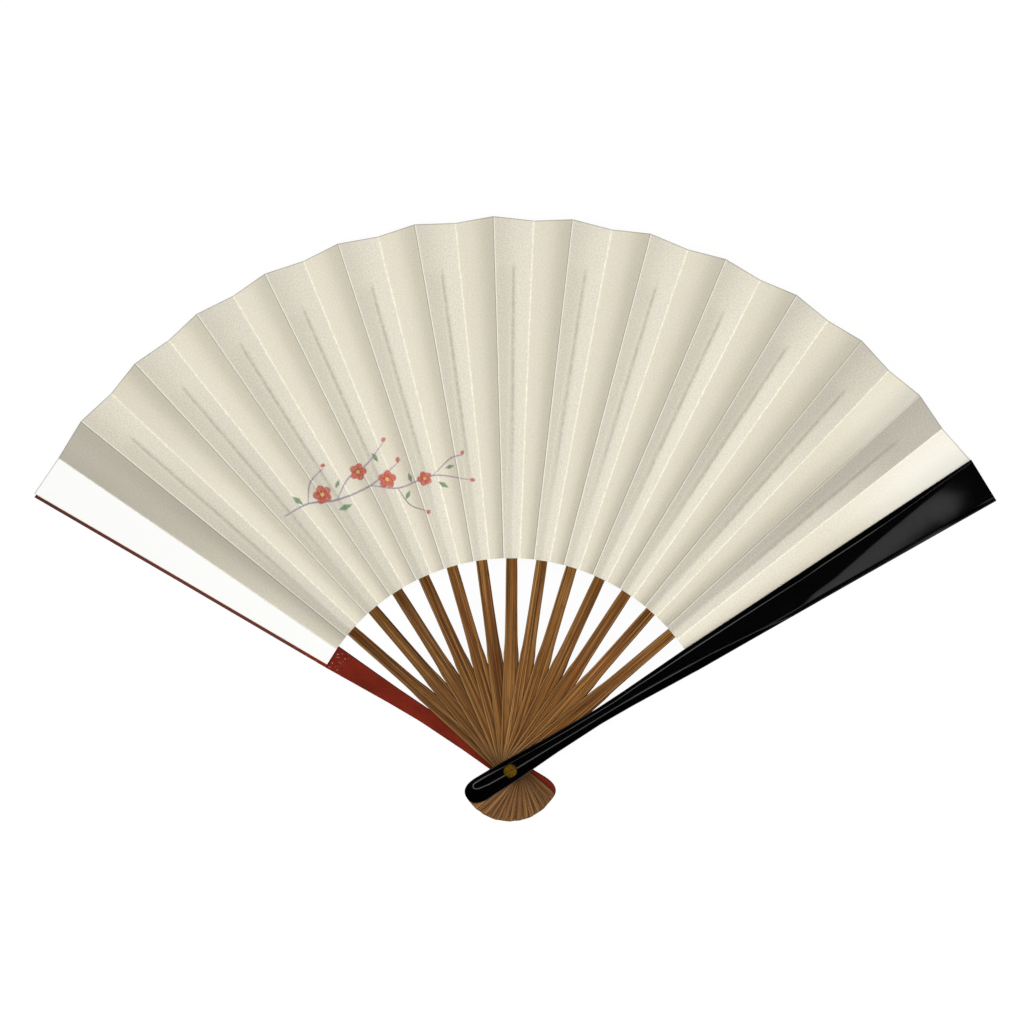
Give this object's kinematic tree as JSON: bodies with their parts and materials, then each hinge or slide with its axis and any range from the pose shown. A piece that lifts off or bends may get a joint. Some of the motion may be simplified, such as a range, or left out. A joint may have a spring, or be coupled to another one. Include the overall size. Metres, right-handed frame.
{
  "type": "folding fan",
  "caption": "Pleated paper folding fan with bamboo ribs between two lacquered guards on a riveted pin; it folds shut round the pin.",
  "frame": {"origin": "on the pin's axis, on the flat back face of the pin's head, level with the rear guard's back", "axes": "+Z along the pin out of the front, +Y up the middle of the open leaf, +X to the right"},
  "size_m": [0.463, 0.2899, 0.0274],
  "materials": {
    "lacquer": "gloss",
    "bamboo": "satin",
    "paper": "matte",
    "brass": "satin"
  },
  "bodies": {
    "rear_guard": {"guard_rear": "lacquer", "leaf_panel_00": "paper", "pivot_pin": "brass", "pin_cap_front": "brass"},
    "front_guard": {"guard_front": "lacquer", "leaf_panel_14": "paper"},
    "rib_01": {"stick_01": "bamboo"},
    "leaf_01": {"slip_01": "bamboo", "leaf_panel_01": "paper"},
    "rib_02": {"stick_02": "bamboo"},
    "leaf_02": {"slip_02": "bamboo", "leaf_panel_02": "paper"},
    "rib_03": {"stick_03": "bamboo"},
    "leaf_03": {"slip_03": "bamboo", "leaf_panel_03": "paper"},
    "rib_04": {"stick_04": "bamboo"},
    "leaf_04": {"slip_04": "bamboo", "leaf_panel_04": "paper"},
    "rib_05": {"stick_05": "bamboo"},
    "leaf_05": {"slip_05": "bamboo", "leaf_panel_05": "paper"},
    "rib_06": {"stick_06": "bamboo"},
    "leaf_06": {"slip_06": "bamboo", "leaf_panel_06": "paper"},
    "rib_07": {"stick_07": "bamboo"},
    "leaf_07": {"slip_07": "bamboo", "leaf_panel_07": "paper"},
    "rib_08": {"stick_08": "bamboo"},
    "leaf_08": {"slip_08": "bamboo", "leaf_panel_08": "paper"},
    "rib_09": {"stick_09": "bamboo"},
    "leaf_09": {"slip_09": "bamboo", "leaf_panel_09": "paper"},
    "rib_10": {"stick_10": "bamboo"},
    "leaf_10": {"slip_10": "bamboo", "leaf_panel_10": "paper"},
    "rib_11": {"stick_11": "bamboo"},
    "leaf_11": {"slip_11": "bamboo", "leaf_panel_11": "paper"},
    "rib_12": {"stick_12": "bamboo"},
    "leaf_12": {"slip_12": "bamboo", "leaf_panel_12": "paper"},
    "rib_13": {"stick_13": "bamboo"},
    "leaf_13": {"slip_13": "bamboo", "leaf_panel_13": "paper"},
    "pleat_01": {"leaf_fold_01": "paper"},
    "pleat_02": {"leaf_fold_02": "paper"},
    "pleat_03": {"leaf_fold_03": "paper"},
    "pleat_04": {"leaf_fold_04": "paper"},
    "pleat_05": {"leaf_fold_05": "paper"},
    "pleat_06": {"leaf_fold_06": "paper"},
    "pleat_07": {"leaf_fold_07": "paper"},
    "pleat_08": {"leaf_fold_08": "paper"},
    "pleat_09": {"leaf_fold_09": "paper"},
    "pleat_10": {"leaf_fold_10": "paper"},
    "pleat_11": {"leaf_fold_11": "paper"},
    "pleat_12": {"leaf_fold_12": "paper"},
    "pleat_13": {"leaf_fold_13": "paper"},
    "pleat_14": {"leaf_fold_14": "paper"}
  },
  "joints": [
    {"name": "fan_fold", "type": "hinge", "parent": "rear_guard", "child": "front_guard", "pos_m": [0, 0, 0], "axis": [0, 0, 1], "range_deg": [0, 116.2]},
    {"name": "rib_01_swing", "type": "hinge", "parent": "rear_guard", "child": "rib_01", "pos_m": [0, 0, 0.0039], "axis": [0, 0, 1], "range_deg": [0, 8.9]},
    {"name": "leaf_01_tilt", "type": "hinge", "parent": "rib_01", "child": "leaf_01", "pos_m": [0, 0, 0.0039], "axis": [0.757, -0.6534, 0], "range_deg": [0, 25.6]},
    {"name": "rib_02_swing", "type": "hinge", "parent": "rear_guard", "child": "rib_02", "pos_m": [0, 0, 0.0054], "axis": [0, 0, 1], "range_deg": [0, 17.1]},
    {"name": "leaf_02_tilt", "type": "hinge", "parent": "rib_02", "child": "leaf_02", "pos_m": [0, 0, 0.0054], "axis": [0.6561, -0.7547, 0], "range_deg": [0, 25.6]},
    {"name": "rib_03_swing", "type": "hinge", "parent": "rear_guard", "child": "rib_03", "pos_m": [0, 0, 0.0069], "axis": [0, 0, 1], "range_deg": [0, 25.3]},
    {"name": "leaf_03_tilt", "type": "hinge", "parent": "rib_03", "child": "leaf_03", "pos_m": [0, 0, 0.0069], "axis": [0.5417, -0.8406, 0], "range_deg": [0, 25.6]},
    {"name": "rib_04_swing", "type": "hinge", "parent": "rear_guard", "child": "rib_04", "pos_m": [0, 0, 0.0084], "axis": [0, 0, 1], "range_deg": [0, 33.5]},
    {"name": "leaf_04_tilt", "type": "hinge", "parent": "rib_04", "child": "leaf_04", "pos_m": [0, 0, 0.0084], "axis": [0.4163, -0.9092, 0], "range_deg": [0, 25.6]},
    {"name": "rib_05_swing", "type": "hinge", "parent": "rear_guard", "child": "rib_05", "pos_m": [0, 0, 0.0099], "axis": [0, 0, 1], "range_deg": [0, 41.7]},
    {"name": "leaf_05_tilt", "type": "hinge", "parent": "rib_05", "child": "leaf_05", "pos_m": [0, 0, 0.0099], "axis": [0.2823, -0.9593, 0], "range_deg": [0, 25.6]},
    {"name": "rib_06_swing", "type": "hinge", "parent": "rear_guard", "child": "rib_06", "pos_m": [0, 0, 0.0114], "axis": [0, 0, 1], "range_deg": [0, 49.9]},
    {"name": "leaf_06_tilt", "type": "hinge", "parent": "rib_06", "child": "leaf_06", "pos_m": [0, 0, 0.0114], "axis": [0.1426, -0.9898, 0], "range_deg": [0, 25.6]},
    {"name": "rib_07_swing", "type": "hinge", "parent": "rear_guard", "child": "rib_07", "pos_m": [0, 0, 0.0129], "axis": [0, 0, 1], "range_deg": [0, 58.1]},
    {"name": "leaf_07_tilt", "type": "hinge", "parent": "rib_07", "child": "leaf_07", "pos_m": [0, 0, 0.0129], "axis": [0, -1, 0], "range_deg": [0, 25.6]},
    {"name": "rib_08_swing", "type": "hinge", "parent": "rear_guard", "child": "rib_08", "pos_m": [0, 0, 0.0144], "axis": [0, 0, 1], "range_deg": [0, 66.3]},
    {"name": "leaf_08_tilt", "type": "hinge", "parent": "rib_08", "child": "leaf_08", "pos_m": [0, 0, 0.0144], "axis": [-0.1426, -0.9898, 0], "range_deg": [0, 25.6]},
    {"name": "rib_09_swing", "type": "hinge", "parent": "rear_guard", "child": "rib_09", "pos_m": [0, 0, 0.0159], "axis": [0, 0, 1], "range_deg": [0, 74.5]},
    {"name": "leaf_09_tilt", "type": "hinge", "parent": "rib_09", "child": "leaf_09", "pos_m": [0, 0, 0.0159], "axis": [-0.2823, -0.9593, 0], "range_deg": [0, 25.6]},
    {"name": "rib_10_swing", "type": "hinge", "parent": "rear_guard", "child": "rib_10", "pos_m": [0, 0, 0.0174], "axis": [0, 0, 1], "range_deg": [0, 82.7]},
    {"name": "leaf_10_tilt", "type": "hinge", "parent": "rib_10", "child": "leaf_10", "pos_m": [0, 0, 0.0174], "axis": [-0.4163, -0.9092, 0], "range_deg": [0, 25.6]},
    {"name": "rib_11_swing", "type": "hinge", "parent": "rear_guard", "child": "rib_11", "pos_m": [0, 0, 0.0189], "axis": [0, 0, 1], "range_deg": [0, 90.9]},
    {"name": "leaf_11_tilt", "type": "hinge", "parent": "rib_11", "child": "leaf_11", "pos_m": [0, 0, 0.0189], "axis": [-0.5417, -0.8406, 0], "range_deg": [0, 25.6]},
    {"name": "rib_12_swing", "type": "hinge", "parent": "rear_guard", "child": "rib_12", "pos_m": [0, 0, 0.0204], "axis": [0, 0, 1], "range_deg": [0, 99.1]},
    {"name": "leaf_12_tilt", "type": "hinge", "parent": "rib_12", "child": "leaf_12", "pos_m": [0, 0, 0.0204], "axis": [-0.6561, -0.7547, 0], "range_deg": [0, 25.6]},
    {"name": "rib_13_swing", "type": "hinge", "parent": "rear_guard", "child": "rib_13", "pos_m": [0, 0, 0.0219], "axis": [0, 0, 1], "range_deg": [0, 107.3]},
    {"name": "leaf_13_tilt", "type": "hinge", "parent": "rib_13", "child": "leaf_13", "pos_m": [0, 0, 0.0219], "axis": [-0.757, -0.6534, 0], "range_deg": [0, 25.6]},
    {"name": "pleat_01_fold", "type": "hinge", "parent": "rear_guard", "child": "pleat_01", "pos_m": [-0.08391, 0.05727, 0.00278], "axis": [0.8275, -0.5615, 0], "range_deg": [0, 161.52], "deforming": ["leaf_fold_01"]},
    {"name": "pleat_02_fold", "type": "hinge", "parent": "leaf_01", "child": "pleat_02", "pos_m": [-0.07417, 0.06941, 0.00249], "axis": [0.7332, -0.6798, 0.017], "range_deg": [0, 122.26], "deforming": ["leaf_fold_02"]},
    {"name": "pleat_03_fold", "type": "hinge", "parent": "leaf_02", "child": "pleat_03", "pos_m": [-0.06352, 0.07927, 0.00399], "axis": [0.6287, -0.7775, 0.017], "range_deg": [0, 122.26], "deforming": ["leaf_fold_03"]},
    {"name": "pleat_04_fold", "type": "hinge", "parent": "leaf_03", "child": "pleat_04", "pos_m": [-0.05156, 0.08752, 0.00549], "axis": [0.5114, -0.8592, 0.017], "range_deg": [0, 122.26], "deforming": ["leaf_fold_04"]},
    {"name": "pleat_05_fold", "type": "hinge", "parent": "leaf_04", "child": "pleat_05", "pos_m": [-0.03855, 0.09398, 0.00699], "axis": [0.3836, -0.9233, 0.017], "range_deg": [0, 122.26], "deforming": ["leaf_fold_05"]},
    {"name": "pleat_06_fold", "type": "hinge", "parent": "leaf_05", "child": "pleat_06", "pos_m": [-0.02475, 0.09852, 0.00849], "axis": [0.248, -0.9686, 0.017], "range_deg": [0, 122.26], "deforming": ["leaf_fold_06"]},
    {"name": "pleat_07_fold", "type": "hinge", "parent": "leaf_06", "child": "pleat_07", "pos_m": [-0.01045, 0.10104, 0.00999], "axis": [0.1073, -0.9941, 0.017], "range_deg": [0, 122.26], "deforming": ["leaf_fold_07"]},
    {"name": "pleat_08_fold", "type": "hinge", "parent": "leaf_07", "child": "pleat_08", "pos_m": [0.00407, 0.1015, 0.01149], "axis": [-0.0356, -0.9992, 0.017], "range_deg": [0, 122.26], "deforming": ["leaf_fold_08"]},
    {"name": "pleat_09_fold", "type": "hinge", "parent": "leaf_08", "child": "pleat_09", "pos_m": [0.01851, 0.09988, 0.01299], "axis": [-0.1777, -0.9839, 0.017], "range_deg": [0, 122.26], "deforming": ["leaf_fold_09"]},
    {"name": "pleat_10_fold", "type": "hinge", "parent": "leaf_09", "child": "pleat_10", "pos_m": [0.03256, 0.09622, 0.01449], "axis": [-0.3162, -0.9485, 0.017], "range_deg": [0, 122.26], "deforming": ["leaf_fold_10"]},
    {"name": "pleat_11_fold", "type": "hinge", "parent": "leaf_10", "child": "pleat_11", "pos_m": [0.04596, 0.09059, 0.01599], "axis": [-0.4483, -0.8937, 0.017], "range_deg": [0, 122.26], "deforming": ["leaf_fold_11"]},
    {"name": "pleat_12_fold", "type": "hinge", "parent": "leaf_11", "child": "pleat_12", "pos_m": [0.05841, 0.08311, 0.01749], "axis": [-0.5712, -0.8207, 0.017], "range_deg": [0, 122.26], "deforming": ["leaf_fold_12"]},
    {"name": "pleat_13_fold", "type": "hinge", "parent": "leaf_12", "child": "pleat_13", "pos_m": [0.06966, 0.07393, 0.01899], "axis": [-0.6824, -0.7308, 0.017], "range_deg": [0, 122.26], "deforming": ["leaf_fold_13"]},
    {"name": "pleat_14_fold", "type": "hinge", "parent": "leaf_13", "child": "pleat_14", "pos_m": [0.07948, 0.06326, 0.02044], "axis": [-0.7796, -0.626, 0.017], "range_deg": [0, 135.97], "deforming": ["leaf_fold_14"]}
  ],
  "couplings": [
    {"joint": "rib_01_swing", "follows": "fan_fold", "ratio": 0.076592},
    {"joint": "leaf_01_tilt", "follows": "fan_fold", "ratio": 0.22031},
    {"joint": "rib_02_swing", "follows": "fan_fold", "ratio": 0.14716},
    {"joint": "leaf_02_tilt", "follows": "fan_fold", "ratio": 0.22031},
    {"joint": "rib_03_swing", "follows": "fan_fold", "ratio": 0.21773},
    {"joint": "leaf_03_tilt", "follows": "fan_fold", "ratio": 0.22031},
    {"joint": "rib_04_swing", "follows": "fan_fold", "ratio": 0.2883},
    {"joint": "leaf_04_tilt", "follows": "fan_fold", "ratio": 0.22031},
    {"joint": "rib_05_swing", "follows": "fan_fold", "ratio": 0.35886},
    {"joint": "leaf_05_tilt", "follows": "fan_fold", "ratio": 0.22031},
    {"joint": "rib_06_swing", "follows": "fan_fold", "ratio": 0.42943},
    {"joint": "leaf_06_tilt", "follows": "fan_fold", "ratio": 0.22031},
    {"joint": "rib_07_swing", "follows": "fan_fold", "ratio": 0.5},
    {"joint": "leaf_07_tilt", "follows": "fan_fold", "ratio": 0.22031},
    {"joint": "rib_08_swing", "follows": "fan_fold", "ratio": 0.57057},
    {"joint": "leaf_08_tilt", "follows": "fan_fold", "ratio": 0.22031},
    {"joint": "rib_09_swing", "follows": "fan_fold", "ratio": 0.64114},
    {"joint": "leaf_09_tilt", "follows": "fan_fold", "ratio": 0.22031},
    {"joint": "rib_10_swing", "follows": "fan_fold", "ratio": 0.7117},
    {"joint": "leaf_10_tilt", "follows": "fan_fold", "ratio": 0.22031},
    {"joint": "rib_11_swing", "follows": "fan_fold", "ratio": 0.78227},
    {"joint": "leaf_11_tilt", "follows": "fan_fold", "ratio": 0.22031},
    {"joint": "rib_12_swing", "follows": "fan_fold", "ratio": 0.85284},
    {"joint": "leaf_12_tilt", "follows": "fan_fold", "ratio": 0.22031},
    {"joint": "rib_13_swing", "follows": "fan_fold", "ratio": 0.92341},
    {"joint": "leaf_13_tilt", "follows": "fan_fold", "ratio": 0.22031},
    {"joint": "pleat_01_fold", "follows": "fan_fold", "ratio": 1.39},
    {"joint": "pleat_02_fold", "follows": "fan_fold", "ratio": 1.0522},
    {"joint": "pleat_03_fold", "follows": "fan_fold", "ratio": 1.0522},
    {"joint": "pleat_04_fold", "follows": "fan_fold", "ratio": 1.0522},
    {"joint": "pleat_05_fold", "follows": "fan_fold", "ratio": 1.0522},
    {"joint": "pleat_06_fold", "follows": "fan_fold", "ratio": 1.0522},
    {"joint": "pleat_07_fold", "follows": "fan_fold", "ratio": 1.0522},
    {"joint": "pleat_08_fold", "follows": "fan_fold", "ratio": 1.0522},
    {"joint": "pleat_09_fold", "follows": "fan_fold", "ratio": 1.0522},
    {"joint": "pleat_10_fold", "follows": "fan_fold", "ratio": 1.0522},
    {"joint": "pleat_11_fold", "follows": "fan_fold", "ratio": 1.0522},
    {"joint": "pleat_12_fold", "follows": "fan_fold", "ratio": 1.0522},
    {"joint": "pleat_13_fold", "follows": "fan_fold", "ratio": 1.0522},
    {"joint": "pleat_14_fold", "follows": "fan_fold", "ratio": 1.1702}
  ]
}
